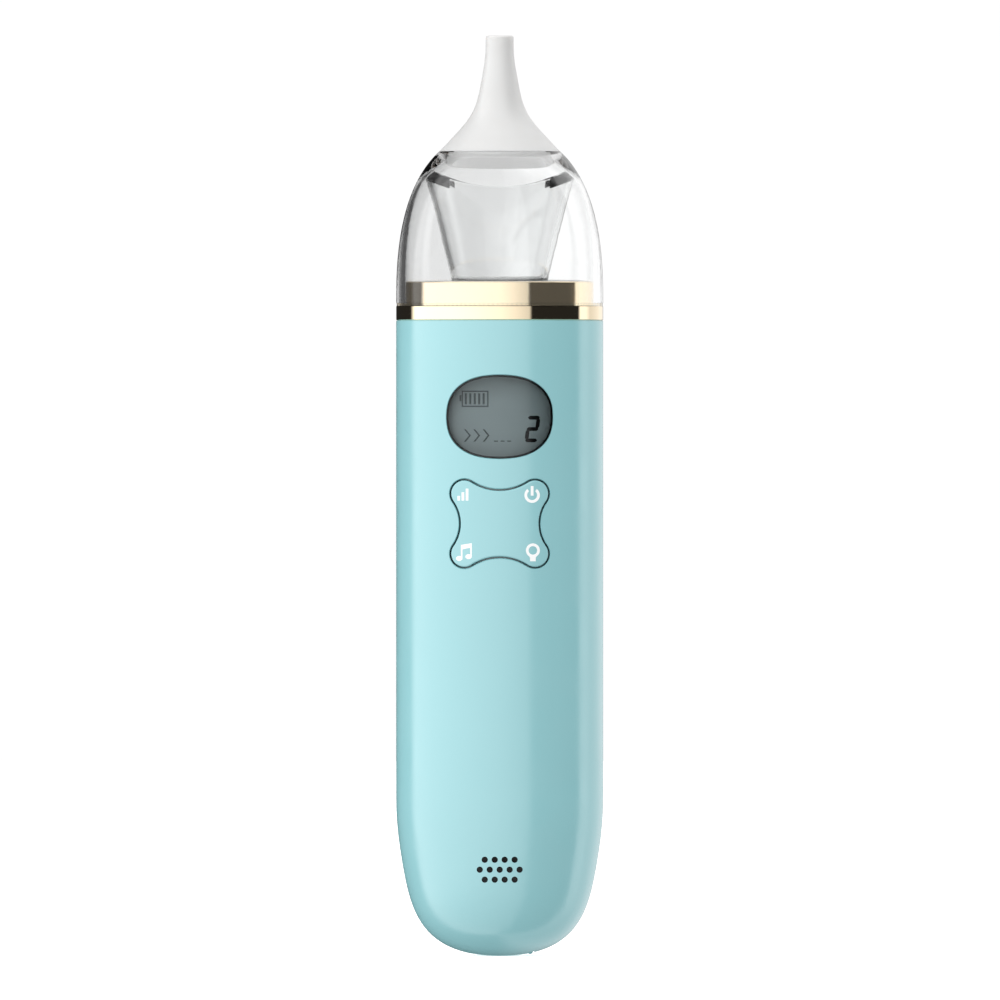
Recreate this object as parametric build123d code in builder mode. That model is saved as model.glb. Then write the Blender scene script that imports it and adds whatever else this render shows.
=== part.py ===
"""Cordless nasal aspirator: a hand-held suction pump with a clear dome, a cup in it and a soft nozzle."""
from build123d import *
import os
from math import copysign, cos, hypot, radians, sin, tan

os.makedirs("parts", exist_ok=True)

# Frame: millimetres, origin at the lowest point of the handle and on its axis,
# +Z towards the nozzle, display and keys on the -Y side.

# Handle
BARREL_R = 20.0
BARREL_TOP = 122.8
TAPER_TOP = 30.4  # a plain cylinder above this height, a rounded bottom below it
BOTTOM_CURVE = [  # control points of a smooth curve from the axis to the cylinder
    (0, 0), (8.94, 0), (20.64, 2.19), (16.07, 15.97), (BARREL_R, 16.45), (BARREL_R, TAPER_TOP)
]
WALL = 1.8
LIP_DEPTH = 1.2  # how far the rear half's lip reaches into the front half
LIP_BOTTOM = 20.0
LIP_TOP = 116.0
EDGE_BREAK = 0.15  # softened edges of the window and of the keys' hole
SLIP = 0.05  # clearance between pieces that are pushed together
PAD_TOP = 3.4  # thick floor round the charging socket

# Top deck and rings
COLLAR_TOP = 125.55
GASKET_TOP = 126.1
GASKET_GAP = 0.02  # the dome rests just clear of its gasket
NECK_R = 18.2
NECK_TOP = 130.2
PLUG_R = 17.1  # deck pieces, which the two metal rings sit on
FLANGE_R = 18.1
FLANGE_BOTTOM = 119.15
FLANGE_TOP = 120.95
CAP_BOTTOM = 127.6
VENT_CIRCLE = 12.4
LAMP_R = 2.5
FOAM_TOP = 122.95
LAMP_LEAD_Z = 123.6  # the lamp's leads run between the foam and the lamp's board
LED_BOARD_BOTTOM = 124.9
LED_BOARD_TOP = 125.7

# Dome, nozzle and cup
DOME_BORE_R = 18.3
DOME_TOP = 155.4
DOME_TOP_R = 11.7
DOME_MOUTH_R = 10.6  # hole in the dome's top, which the nozzle's plug fills
DOME_MOUTH_BOTTOM = 154.6
NOZZLE_PLUG_BOTTOM = 154.0
NOZZLE_TOP = 177.8
NOZZLE_TIP_R = 2.7
NOZZLE_BORE_R = 1.7
NOZZLE_BORE_BOTTOM = 166.0
CUP_FOOT_R = 9.0
CUP_FOOT = 129.0  # the cup stands in a shallow recess in the deck's cap
CUP_WALL = 1.03
CUP_FLOOR = 1.2
CUP_LEAN = 14.2  # degrees
CUP_SHOULDER = 150.2  # above this height the cup follows the dome inwards
SCOOP_R = 26.8  # the cup's rim is cut by a cylinder that lies along Y
SCOOP_BOTTOM = 148.4
BUMPER_X = 9.5
BUMPER_T = 0.6

# Display
WINDOW_Z = 104.1
WINDOW_HALF = (10.25, 8.05)
WINDOW_POWER = 2.4  # of the rounded outline: 2 is an ellipse, larger is squarer
WINDOW_RIM = 0.4
LENS_BACK_R = 18.6
LCD_FRONT = 15.0  # distances named FRONT and BACK are measured from the axis towards -Y
LCD_BACK = 13.6
LCD_HALF = 10.0
LCD_Z = (95.8, 112.4)

# Keys
KEY_Z = 83.5
LOBE = (6.8, 5.8)
LOBE_R = 2.88
WAIST = (7.83, 6.67)
KEY_GAP = 0.35
KEY_OUTER_R = 20.22  # just proud of the handle
KEY_INNER_R = 17.0
KEY_FLANGE_R = 17.75
KEY_FLANGE = 0.8
KEY_BACK = 14.45
MAT_TOP = 14.15
MAT_FRONT = 13.85
MAT_BACK = 13.35
PIVOT_FRONT = 15.6
PIVOT_R = 1.5
KEY_POINTS = {
    "level": (-LOBE[0], LOBE[1]),
    "power": (LOBE[0], LOBE[1]),
    "music": (-LOBE[0], -LOBE[1]),
    "lamp": (LOBE[0], -LOBE[1]),
}

# Boards behind the front face
BOARD_FRONT = 12.2
BOARD_BACK = 11.0
BOARD_HALF = 12.3
BOARD_Z = (60.5, 117.4)
CHASSIS_FRONT = 10.6
CHASSIS_BACK = 9.6
CHASSIS_BOTTOM = 64.0
BOARD_SCREWS = [(x, z) for x in (-9.5, 9.5) for z in (66.0, 115.0)]
BOARD_SCREW_R = 0.9

# Fixings of the two halves
HOUSING_SCREWS = [(x, z) for x in (-13.0, 13.0) for z in (26.0, 57.0)]
SCREW_SEAT = 6.0  # screw heads sit this far behind the axis
SCREW_R = 1.1
SCREW_HEAD_R = 2.0
PLUG_HOLE_R = 2.15

# Loudspeaker
SPEAKER_Z = 16.8
SPEAKER_R = 7.0
SPEAKER_FRONT = 14.4
SPEAKER_BACK = 12.2
SPEAKER_MAGNET_T = 1.3
GRILLE_ROWS = (4, 5, 4)
GRILLE_PITCH = 1.92
GRILLE_HOLE_R = 0.6

# Battery
BATTERY_Y = 5.0
BATTERY_R = 9.0
BATTERY_Z = (20.0, 55.0)

# Charging socket and its flap
PORT_SIZE = (8.94, 3.26)
PORT_MOUTH = 1.4
PORT_END = 8.7
RECESS_SIZE = (13.0, 6.4)
RECESS_DEPTH = 1.2
HINGE_X = 5.9
HINGE_Z = 0.9
HINGE_BEAD_R = 0.55

# Motor and pump, on an axis a little behind the handle's
PUMP_Y = 4.6
MOTOR_R = 12.0
MOTOR_BOTTOM = 60.0
CAN_BOTTOM = 62.0
MOTOR_TOP = 86.0
SHAFT_R = 1.0
SHAFT_CLEARANCE = 0.04
DAMPER_R = 13.3
DAMPER_BOTTOMS = (66.5, 78.5)
DAMPER_H = 3.0
PUMP_R = 13.0
BASE_FLOOR = 88.0
BASE_TOP = 101.0
CHAMBER_R = 9.6
SHEET_TOP = 102.0
PLATE_TOP = 105.0
HEAD_TOP = 110.0
PUMP_SCREW_R = 0.9
PUMP_SCREW_CIRCLE = 11.3
MOTOR_SCREW_CIRCLE = 7.6
CYLINDER_CIRCLE = 6.2
CYLINDER_R = 3.2
ECCENTRIC_R = 5.0
ECCENTRIC_Z = (89.5, 94.0)
WOBBLE_Z = 99.0  # where the leaning pin's axis meets the motor's
WOBBLE_LEAN = 6.0  # degrees
PIN_R = 0.75
BARB_R = 2.0
BARB_TOP = 115.5
SPIGOT_BOTTOM = 116.5
TUBE_R = 3.2
WIRE_R = 0.5
WIRE_BEND = 1.0
LAMP_WIRE_HOLES = [(-5.5, -11.6), (-4.0, -11.6)]
EXHAUST = (0, PUMP_Y + 7.0)


# Sketch and solid helpers --------------------------------------------------------------------


def facing(depth, z=0.0):
    """Plane facing -Y, depth in front of the axis, drawn on as X across and Z up."""
    return Plane(origin=(0, -depth, z), x_dir=(1, 0, 0), z_dir=(0, -1, 0))


def barrel_section(inset, top, mode=Mode.ADD):
    """Half-section of the handle, drawn in from its skin by inset and cut off at top."""
    across = (BARREL_R - inset) / BARREL_R
    up = (TAPER_TOP - inset) / TAPER_TOP
    with BuildLine() as edge:
        bottom = Bezier(*[(x * across, inset + z * up) for x, z in BOTTOM_CURVE])
        Polyline(bottom @ 1, (BARREL_R - inset, top), (0, top), (0, inset))
    make_face(edge.edges(), mode=mode)


def ring(r_in, r_out, z_low, z_high, y=0.0, mode=Mode.ADD):
    """Add, cut or keep a ring or disc on a vertical axis."""
    with BuildSketch(Plane((0, y, z_low))) as disc:
        Circle(r_out)
        if r_in > 0:
            Circle(r_in, mode=Mode.SUBTRACT)
    extrude(disc.sketch, amount=z_high - z_low, mode=mode)


def rods(points, r, y_low, y_high, mode=Mode.ADD):
    """Add or cut round bars that lie along Y, at (x, z) points."""
    with BuildSketch(facing(-y_low)) as ends:
        with Locations(*points):
            Circle(r)
    extrude(ends.sketch, amount=y_low - y_high, mode=mode)


def block(x, y, z, mode=Mode.ADD):
    """Add or cut a box given as (low, high) pairs."""
    with Locations((sum(x) / 2, sum(y) / 2, sum(z) / 2)):
        Box(x[1] - x[0], y[1] - y[0], z[1] - z[0], mode=mode)


def hollow_radius(across, hollow):
    """Radius of a hollow side that touches both its lobes and passes through its waist."""
    return (across**2 + hollow**2 - LOBE_R**2) / (2 * (LOBE_R - hollow))


def key_outline(grow):
    """Four round lobes joined by hollow sides; grow moves the whole edge outwards."""
    lobe_x, lobe_z = LOBE
    waist_x, waist_z = WAIST
    reach = LOBE_R + grow
    to_top = Vector(-lobe_x, waist_z + hollow_radius(lobe_x, waist_z - lobe_z) - lobe_z)
    to_side = Vector(waist_x + hollow_radius(lobe_z, waist_x - lobe_x) - lobe_x, -lobe_z)
    top = Vector(lobe_x, lobe_z) + to_top.normalized() * reach
    side = Vector(lobe_x, lobe_z) + to_side.normalized() * reach
    tip = Vector(lobe_x, lobe_z) + Vector(1, 1).normalized() * reach
    with BuildLine() as edge:
        for sx in (1, -1):
            for sz in (1, -1):
                ThreePointArc(*[(sx * p.X, sz * p.Y) for p in (top, tip, side)])
        for s in (1, -1):
            ThreePointArc((-top.X, s * top.Y), (0, s * (waist_z + grow)), (top.X, s * top.Y))
            ThreePointArc((s * side.X, side.Y), (s * (waist_x + grow), 0), (s * side.X, -side.Y))
    make_face(edge.edges())


def window_outline(grow, mode=Mode.ADD):
    """Outline between an oval and a rounded rectangle; grow moves the whole edge outwards."""
    half_x, half_z = [h + grow for h in WINDOW_HALF]
    points = []
    for i in range(24):
        turn = radians(360 / 24 * (i + 0.5))
        x = copysign(abs(cos(turn)) ** (2 / WINDOW_POWER), cos(turn))
        z = copysign(abs(sin(turn)) ** (2 / WINDOW_POWER), sin(turn))
        points.append((half_x * x, half_z * z))
    with BuildLine() as edge:
        Spline(*points, periodic=True)
    make_face(edge.edges(), mode=mode)


def grille_points():
    """Hole centres of the loudspeaker grille."""
    points = []
    for row, count in enumerate(GRILLE_ROWS):
        z = SPEAKER_Z + (row - (len(GRILLE_ROWS) - 1) / 2) * GRILLE_PITCH
        points += [((i - (count - 1) / 2) * GRILLE_PITCH, z) for i in range(count)]
    return points


def slot(size, grow, z_low, z_high, mode=Mode.ADD):
    """Add or cut a round-ended bar along Z, long across X; grow moves its edge outwards."""
    with BuildSketch(Plane.XY.offset(z_low)) as ends:
        SlotOverall(size[0] + 2 * grow, size[1] + 2 * grow)
    extrude(ends.sketch, amount=z_high - z_low, mode=mode)


def round_pump(radius, count=3, start=30.0):
    """Points spaced evenly round the pump's axis."""
    angles = [radians(start + 360 / count * i) for i in range(count)]
    return [(radius * cos(a), PUMP_Y + radius * sin(a)) for a in angles]


def holes(points, r, z_low, z_high, mode=Mode.SUBTRACT):
    """Cut, or add, round holes along Z at (x, y) points."""
    with BuildSketch(Plane.XY.offset(z_low)) as ends:
        with Locations(*points):
            Circle(r)
    extrude(ends.sketch, amount=z_high - z_low, mode=mode)


# Trimming bodies, which aren't pieces of the object --------------------------------------------

with BuildPart() as skin_volume:  # everything inside the handle's outer skin
    with BuildSketch(Plane.XZ):
        barrel_section(0, BARREL_TOP)
    revolve(axis=Axis.Z)

with BuildPart() as core_volume:  # reaches halfway into the wall, so that ribs fuse with it
    with BuildSketch(Plane.XZ):
        barrel_section(WALL / 2, BARREL_TOP - 1)
    revolve(axis=Axis.Z)


def seam_strip(inset, depth):
    """Strip inside the wall along the seam, reaching a depth in front of the axis."""
    with BuildSketch(Plane.XZ) as section:
        barrel_section(inset, LIP_TOP)
        barrel_section(WALL + SLIP, LIP_TOP, mode=Mode.SUBTRACT)
    revolve(section.sketch, axis=Axis.Z)
    block((-BARREL_R, BARREL_R), (-depth, 0), (LIP_BOTTOM, LIP_TOP), mode=Mode.INTERSECT)


with BuildPart() as lip:
    seam_strip(WALL / 2 + SLIP, LIP_DEPTH)

with BuildPart() as lip_groove:
    seam_strip(WALL / 2, LIP_DEPTH + SLIP)


# Handle shells -----------------------------------------------------------------------------------


def half_shell(keep):
    """One half of the handle's wall, with two ribs inside that grip the deck's flange."""
    with BuildSketch(Plane.XZ) as section:
        barrel_section(0, BARREL_TOP)
        barrel_section(WALL, BARREL_TOP, mode=Mode.SUBTRACT)
        for z_low, z_high in ((117.7, FLANGE_BOTTOM - SLIP), (FLANGE_TOP + SLIP, 122.4)):
            with Locations((PLUG_R + 0.15, z_low)):
                Rectangle(NECK_R + 0.1 - PLUG_R, z_high - z_low, align=(Align.MIN, Align.MIN))
    revolve(section.sketch, axis=Axis.Z)
    chamfer(edges().group_by(Axis.Z)[-1].sort_by(SortBy.LENGTH)[-1], 0.2)
    split(bisect_by=Plane.XZ, keep=keep)


def skin_edges(z, reach):
    """Edges of a hole in the front skin, found by their ends, around a height."""

    def on_skin(edge):
        ends = edge.vertices()
        level = all(abs(v.Z - z) < reach and v.Y < 0 for v in ends)
        return level and all(abs(hypot(v.X, v.Y) - BARREL_R) < 0.001 for v in ends)

    return edges().filter_by(on_skin)


def port_cutout():
    """Recess for the flap, the groove for its hinge bead and the hole for the socket."""
    slot(RECESS_SIZE, 0, 0, RECESS_DEPTH, Mode.SUBTRACT)
    slot(PORT_SIZE, SLIP, 0, PORT_END, Mode.SUBTRACT)
    rods([(HINGE_X, HINGE_Z)], 0.8, -3.2, 3.2, mode=Mode.SUBTRACT)


with BuildPart() as front_housing:
    rods(HOUSING_SCREWS, 2.6, -BARREL_R, 0)
    rods(BOARD_SCREWS, 2.0, -BARREL_R, -BOARD_FRONT)
    rods([(0, SPEAKER_Z)], SPEAKER_R + 1.2, -BARREL_R, -SPEAKER_BACK)
    rods([(0, SPEAKER_Z)], SPEAKER_R + SLIP, -BARREL_R, -SPEAKER_BACK, mode=Mode.SUBTRACT)
    block((-8.5, 8.5), (-5.2, 0), (0, PAD_TOP))
    add(core_volume.part, mode=Mode.INTERSECT)
    half_shell(Keep.TOP)
    add(lip_groove.part, mode=Mode.SUBTRACT)
    with BuildSketch(facing(LCD_FRONT, WINDOW_Z)):
        window_outline(0)
    extrude(amount=BARREL_R, mode=Mode.SUBTRACT)
    with BuildSketch(facing(KEY_BACK, KEY_Z)):
        key_outline(0)
    extrude(amount=BARREL_R, mode=Mode.SUBTRACT)
    chamfer(skin_edges(KEY_Z, 10) + skin_edges(WINDOW_Z, 9), EDGE_BREAK)
    rods(grille_points(), GRILLE_HOLE_R, -BARREL_R, -SPEAKER_FRONT, mode=Mode.SUBTRACT)
    rods(HOUSING_SCREWS, SCREW_R, -8, 0, mode=Mode.SUBTRACT)
    rods(BOARD_SCREWS, BOARD_SCREW_R, -14.8, -BOARD_FRONT, mode=Mode.SUBTRACT)
    port_cutout()

with BuildPart() as rear_housing:
    rods(HOUSING_SCREWS, 2.9, 0, BARREL_R)
    for rib_z in (28.0, 47.0):
        block((-BARREL_R, BARREL_R), (BATTERY_Y, BARREL_R), (rib_z - 0.8, rib_z + 0.8))
    ring(0, BATTERY_R + SLIP, *BATTERY_Z, y=BATTERY_Y, mode=Mode.SUBTRACT)
    for rib_z in DAMPER_BOTTOMS:
        block((-BARREL_R, BARREL_R), (PUMP_Y, BARREL_R), (rib_z, rib_z + DAMPER_H))
        ring(0, DAMPER_R, rib_z, rib_z + DAMPER_H, y=PUMP_Y, mode=Mode.SUBTRACT)
    block((-8.5, 8.5), (0, 5.2), (0, PAD_TOP))
    add(core_volume.part, mode=Mode.INTERSECT)
    half_shell(Keep.BOTTOM)
    add(lip.part)
    for vent_z in (100.0, 103.0, 106.0):
        with BuildSketch(facing(-BARREL_R + 4, vent_z)):
            SlotOverall(9, 1.2)
        extrude(amount=-5, mode=Mode.SUBTRACT)
    rods(HOUSING_SCREWS, SCREW_R + 0.1, 0, SCREW_SEAT, mode=Mode.SUBTRACT)
    rods(HOUSING_SCREWS, PLUG_HOLE_R, SCREW_SEAT, BARREL_R, mode=Mode.SUBTRACT)
    port_cutout()

with BuildPart() as housing_screws:
    rods(HOUSING_SCREWS, SCREW_R, -7.5, SCREW_SEAT)
    rods(HOUSING_SCREWS, SCREW_HEAD_R, SCREW_SEAT, SCREW_SEAT + 1.4)
    for x, z in HOUSING_SCREWS:
        for size in ((2.2, 0.5), (0.5, 2.2)):
            with BuildSketch(facing(-SCREW_SEAT - 0.7, z)):
                with Locations((x, 0)):
                    Rectangle(*size)
            extrude(amount=-1, mode=Mode.SUBTRACT)

with BuildPart() as screw_plugs:
    rods(HOUSING_SCREWS, PLUG_HOLE_R - SLIP, 9.0, BARREL_R)
    add(skin_volume.part, mode=Mode.INTERSECT)


# Deck and rings -----------------------------------------------------------------------------------

with BuildPart() as deck_base:
    ring(0, FLANGE_R, FLANGE_BOTTOM, FLANGE_TOP)
    ring(0, PLUG_R, FLANGE_TOP, CAP_BOTTOM)
    ring(0, PLUG_R - 1.5, FLANGE_TOP, CAP_BOTTOM, mode=Mode.SUBTRACT)
    ring(0, BARB_R, SPIGOT_BOTTOM, FLANGE_BOTTOM, y=PUMP_Y)
    holes([(0, PUMP_Y)], 1.2, SPIGOT_BOTTOM, FLANGE_TOP)
    holes(LAMP_WIRE_HOLES, WIRE_R + 0.15, FLANGE_BOTTOM, FLANGE_TOP)

with BuildPart() as filter_foam:  # inlet disc under the deck, and the exhaust's plug
    ring(0, PLUG_R - 1.55, FLANGE_TOP, FOAM_TOP)
    holes(LAMP_WIRE_HOLES, WIRE_R + 0.15, FLANGE_TOP, FOAM_TOP)
    holes([EXHAUST], 2.5, HEAD_TOP - 1.0, HEAD_TOP + 2.0, Mode.ADD)

with BuildPart() as deck_cap:
    ring(0, PLUG_R, CAP_BOTTOM, NECK_TOP)
    ring(PLUG_R - 2.6, PLUG_R - 1.6, CAP_BOTTOM - 2.4, CAP_BOTTOM)
    ring(4.05, 5.0, LED_BOARD_BOTTOM, CAP_BOTTOM)
    with BuildSketch(Plane.XY.offset(CAP_BOTTOM)):
        with PolarLocations(VENT_CIRCLE, 6, start_angle=30):
            Circle(1.0)
    extrude(amount=NECK_TOP - CAP_BOTTOM, mode=Mode.SUBTRACT)
    ring(0, CUP_FOOT_R + 0.4, CUP_FOOT, NECK_TOP, mode=Mode.SUBTRACT)
    ring(0, LAMP_R + SLIP, CAP_BOTTOM + 0.3, CUP_FOOT, mode=Mode.SUBTRACT)
    ring(0, LAMP_R - 0.5, CAP_BOTTOM, CUP_FOOT, mode=Mode.SUBTRACT)

with BuildPart() as lamp_lens:
    ring(0, LAMP_R, CAP_BOTTOM + 0.3, CUP_FOOT)

with BuildPart() as lamp_led:
    block((-1.4, 1.4), (-1.4, 1.4), (LED_BOARD_TOP, LED_BOARD_TOP + 1.0))
    with Locations((0, 0, LED_BOARD_TOP + 1.0)):
        Sphere(0.9, arc_size1=0)

with BuildPart() as collar_ring:
    ring(PLUG_R + SLIP, BARREL_R, BARREL_TOP, COLLAR_TOP)
    chamfer(collar_ring.edges().filter_by(GeomType.CIRCLE).group_by(SortBy.RADIUS)[-1], 0.12)

with BuildPart() as neck_ring:
    ring(PLUG_R + SLIP, NECK_R, COLLAR_TOP, NECK_TOP)
    chamfer(neck_ring.edges().group_by(Axis.Z)[-1].group_by(SortBy.RADIUS)[-1], 0.2)

with BuildPart() as dome_gasket:
    ring(NECK_R, BARREL_R - 0.1, COLLAR_TOP, GASKET_TOP - GASKET_GAP)


# Dome, nozzle and cup ------------------------------------------------------------------------------

with BuildPart() as dome_cover:
    with BuildSketch(Plane.XZ):
        with BuildLine():
            outside = Bezier(
                (BARREL_R, GASKET_TOP), (BARREL_R, 132.5), (20.1, 147.6), (DOME_TOP_R, DOME_TOP)
            )
            mouth = Polyline(
                outside @ 1, (DOME_MOUTH_R, DOME_TOP), (DOME_MOUTH_R, DOME_MOUTH_BOTTOM)
            )
            inside = Bezier(
                mouth @ 1,
                (14.3, 151.2),
                (16.2, 149.8),
                (DOME_BORE_R, 142.4),
                (DOME_BORE_R, NECK_TOP + 1),
            )
            Polyline(inside @ 1, (DOME_BORE_R, GASKET_TOP), (BARREL_R, GASKET_TOP))
        make_face()
    revolve(axis=Axis.Z)

with BuildPart() as nozzle_tip:
    with BuildSketch(Plane.XZ) as nozzle_section:
        with BuildLine():
            flare = Spline(
                (DOME_TOP_R, DOME_TOP),
                (9.0, 158.25),
                (6.4, 161.2),
                (4.75, 164.15),
                (3.6, 168.8),
                (2.9, 172.9),
                (NOZZLE_TIP_R, NOZZLE_TOP),
                tangents=[(-1, 0.98), (0, 1)],
            )
            Polyline(
                flare @ 1,
                (NOZZLE_BORE_R, NOZZLE_TOP),
                (NOZZLE_BORE_R, NOZZLE_BORE_BOTTOM),
                (5.6, 159.2),
                (9.2, NOZZLE_PLUG_BOTTOM),
                (DOME_MOUTH_R - 0.4, NOZZLE_PLUG_BOTTOM),
                (DOME_MOUTH_R - SLIP, NOZZLE_PLUG_BOTTOM + 0.4),
                (DOME_MOUTH_R - SLIP, DOME_TOP),
                (DOME_TOP_R, DOME_TOP),
            )
        make_face()
        fillet(nozzle_section.vertices().group_by(Axis.Y)[-1], 0.4)
    revolve(axis=Axis.Z)


def cup_radius(z):
    """Outside radius of the cup's leaning wall at a height."""
    return CUP_FOOT_R + (z - CUP_FOOT) * tan(radians(CUP_LEAN))


def cup_wall(thickness, floor):
    """Half-section of the cup down to a floor; a thin one gives the skin the bumpers fill."""
    rim = (12.8, 152.2)
    with BuildLine() as edge:
        Polyline(
            (0, CUP_FOOT),
            (CUP_FOOT_R, CUP_FOOT),
            (cup_radius(CUP_SHOULDER), CUP_SHOULDER),
            rim,
            (rim[0] - thickness, rim[1]),
            (cup_radius(CUP_SHOULDER) - thickness, CUP_SHOULDER),
            (cup_radius(CUP_FOOT + floor) - thickness, CUP_FOOT + floor),
            (0, CUP_FOOT + floor),
            close=True,
        )
    make_face(edge.edges())


def scoop(low, high, mode):
    """Cylinder along Y whose underside shapes the rim, or the band between two of them."""
    with BuildSketch(Plane.XZ) as end:
        with Locations((0, SCOOP_BOTTOM + SCOOP_R)):
            Circle(SCOOP_R + high)
            if low is not None:
                Circle(SCOOP_R + low, mode=Mode.SUBTRACT)
    extrude(end.sketch, amount=BARREL_R, both=True, mode=mode)


with BuildPart() as cup_bumpers:
    with BuildSketch(Plane.XZ):
        cup_wall(BUMPER_T, CUP_FLOOR)
    revolve(axis=Axis.Z)
    scoop(0.25, 1.9, Mode.INTERSECT)
    block((-BUMPER_X, BUMPER_X), (-BARREL_R, BARREL_R), (NECK_TOP, DOME_TOP), mode=Mode.SUBTRACT)

with BuildPart() as collection_cup:
    with BuildSketch(Plane.XZ) as cup_section:
        cup_wall(CUP_WALL, CUP_FLOOR)
        inner_corner = cup_section.vertices().filter_by(lambda v: v.X > 1).group_by(Axis.Y)[1]
        fillet(inner_corner, 0.9)
    revolve(axis=Axis.Z)
    scoop(None, 0, Mode.SUBTRACT)
    add(cup_bumpers.part, mode=Mode.SUBTRACT)


# Display ---------------------------------------------------------------------------------------------

with BuildPart() as window_lens:
    with BuildSketch(facing(LCD_FRONT, WINDOW_Z)):
        window_outline(-SLIP)
    extrude(amount=BARREL_R)
    ring(LENS_BACK_R, BARREL_R, WINDOW_Z - 12, WINDOW_Z + 12, mode=Mode.INTERSECT)

with BuildPart() as lcd_gasket:
    with BuildSketch(facing(LCD_FRONT, WINDOW_Z)):
        window_outline(-SLIP)
        window_outline(-WINDOW_RIM, mode=Mode.SUBTRACT)
    extrude(amount=BARREL_R)
    ring(0, LENS_BACK_R, WINDOW_Z - 12, WINDOW_Z + 12, mode=Mode.INTERSECT)

with BuildPart() as lcd_panel:
    block((-LCD_HALF, LCD_HALF), (-LCD_FRONT, -LCD_BACK), LCD_Z)

with BuildPart() as lcd_backlight:
    block((-LCD_HALF, LCD_HALF), (-LCD_BACK, -BOARD_FRONT), LCD_Z)


# Keys --------------------------------------------------------------------------------------------------

with BuildPart() as key_flange:  # joins the key plate below
    with BuildSketch(facing(KEY_BACK, KEY_Z)):
        key_outline(KEY_FLANGE)
    extrude(amount=BARREL_R)
    ring(KEY_INNER_R, KEY_FLANGE_R, KEY_Z - 12, KEY_Z + 12, mode=Mode.INTERSECT)

with BuildPart() as key_plate:
    with BuildSketch(facing(KEY_BACK, KEY_Z)):
        key_outline(-KEY_GAP)
    extrude(amount=BARREL_R)
    ring(KEY_INNER_R, KEY_OUTER_R, KEY_Z - 12, KEY_Z + 12, mode=Mode.INTERSECT)
    fillet(key_plate.faces().sort_by(Axis.Y)[0].outer_wire().edges(), 0.3)
    add(key_flange.part)
    rods([(0, KEY_Z)], 2.3, -KEY_INNER_R - 0.4, -KEY_INNER_R + 0.8)
    key_nubs = [(x, KEY_Z + z) for x, z in KEY_POINTS.values()]
    rods(key_nubs, 1.0, -KEY_BACK - 1.4, -MAT_TOP)
    with Locations((0, -PIVOT_FRONT, KEY_Z)):
        Sphere(PIVOT_R + SLIP, mode=Mode.SUBTRACT)

with BuildPart() as key_pivot:
    with Locations((0, -PIVOT_FRONT, KEY_Z)):
        Sphere(PIVOT_R)

with BuildPart() as keypad_mat:
    block((-10.2, 10.2), (-MAT_FRONT, -MAT_BACK), (KEY_Z - 9.5, KEY_Z + 9.5))
    block((-10.2, 10.2), (-MAT_BACK, -BOARD_FRONT), (KEY_Z - 9.5, KEY_Z + 9.5))
    block((-9.3, 9.3), (-MAT_BACK, -BOARD_FRONT), (KEY_Z - 8.6, KEY_Z + 8.6), mode=Mode.SUBTRACT)
    rods(key_nubs, 1.3, -MAT_TOP, -MAT_FRONT)
    rods([(0, KEY_Z)], 2.0, -MAT_TOP, -MAT_BACK, mode=Mode.SUBTRACT)

with BuildPart() as tact_switches:
    for x, z in key_nubs:
        block((x - 1.6, x + 1.6), (-12.9, -BOARD_FRONT), (z - 1.6, z + 1.6))
    rods(key_nubs, 0.8, -12.9, -12.3, mode=Mode.SUBTRACT)  # 0.1 past the plunger's full press

plungers = {}
for key_name, (key_x, key_z) in KEY_POINTS.items():
    with BuildPart() as plunger:
        rods([(key_x, KEY_Z + key_z)], 0.75, -MAT_BACK + 0.1, -12.65)
    plungers["plunger_" + key_name] = plunger


# Boards and chassis ------------------------------------------------------------------------------------

with BuildPart() as main_board:
    block((-BOARD_HALF, BOARD_HALF), (-BOARD_FRONT, -BOARD_BACK), BOARD_Z)
    rods(BOARD_SCREWS, BOARD_SCREW_R + 0.15, -BOARD_FRONT, -BOARD_BACK, mode=Mode.SUBTRACT)
    rods([(0, KEY_Z)], 1.7, -BOARD_FRONT, -BOARD_BACK, mode=Mode.SUBTRACT)

with BuildPart() as chassis:
    block((-BOARD_HALF, BOARD_HALF), (-CHASSIS_FRONT, -CHASSIS_BACK), (CHASSIS_BOTTOM, BOARD_Z[1]))
    rods(BOARD_SCREWS, 2.0, -BOARD_BACK, -CHASSIS_FRONT)
    rods(BOARD_SCREWS, BOARD_SCREW_R + 0.15, -BOARD_BACK, -CHASSIS_BACK, mode=Mode.SUBTRACT)
    rods([(0, KEY_Z)], 1.4, -PIVOT_FRONT + 0.9, -CHASSIS_FRONT)
    with Locations((0, -PIVOT_FRONT, KEY_Z)):
        Sphere(PIVOT_R + SLIP, mode=Mode.SUBTRACT)
    for rib_z in DAMPER_BOTTOMS:
        block((-7.5, 7.5), (-CHASSIS_BACK, -6.5), (rib_z, rib_z + DAMPER_H))
        ring(0, DAMPER_R, rib_z, rib_z + DAMPER_H, y=PUMP_Y, mode=Mode.SUBTRACT)

with BuildPart() as board_screws:
    rods(BOARD_SCREWS, BOARD_SCREW_R, -14.8, -CHASSIS_BACK)
    rods(BOARD_SCREWS, 1.7, -CHASSIS_BACK, -CHASSIS_BACK + 1)

with BuildPart() as board_components:
    block((-3.5, 3.5), (-BOARD_FRONT - 1.0, -BOARD_FRONT), (63.0, 70.0))
    block((-7.2, -5.0), (-BOARD_FRONT - 0.9, -BOARD_FRONT), (70.2, 73.2))
    block((5.0, 7.4), (-BOARD_FRONT - 1.2, -BOARD_FRONT), (70.4, 72.8))
    for x in (-4.5, -1.5, 1.5, 4.5):
        block((x - 0.5, x + 0.5), (-BOARD_FRONT - 0.5, -BOARD_FRONT), (71.2, 72.8))
    block((-6.5, -2.5), (0.6, 1.63), (11.0, 14.0))
    block((2.0, 4.5), (0.4, 1.63), (10.5, 13.0))


# Loudspeaker ---------------------------------------------------------------------------------------------

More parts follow.
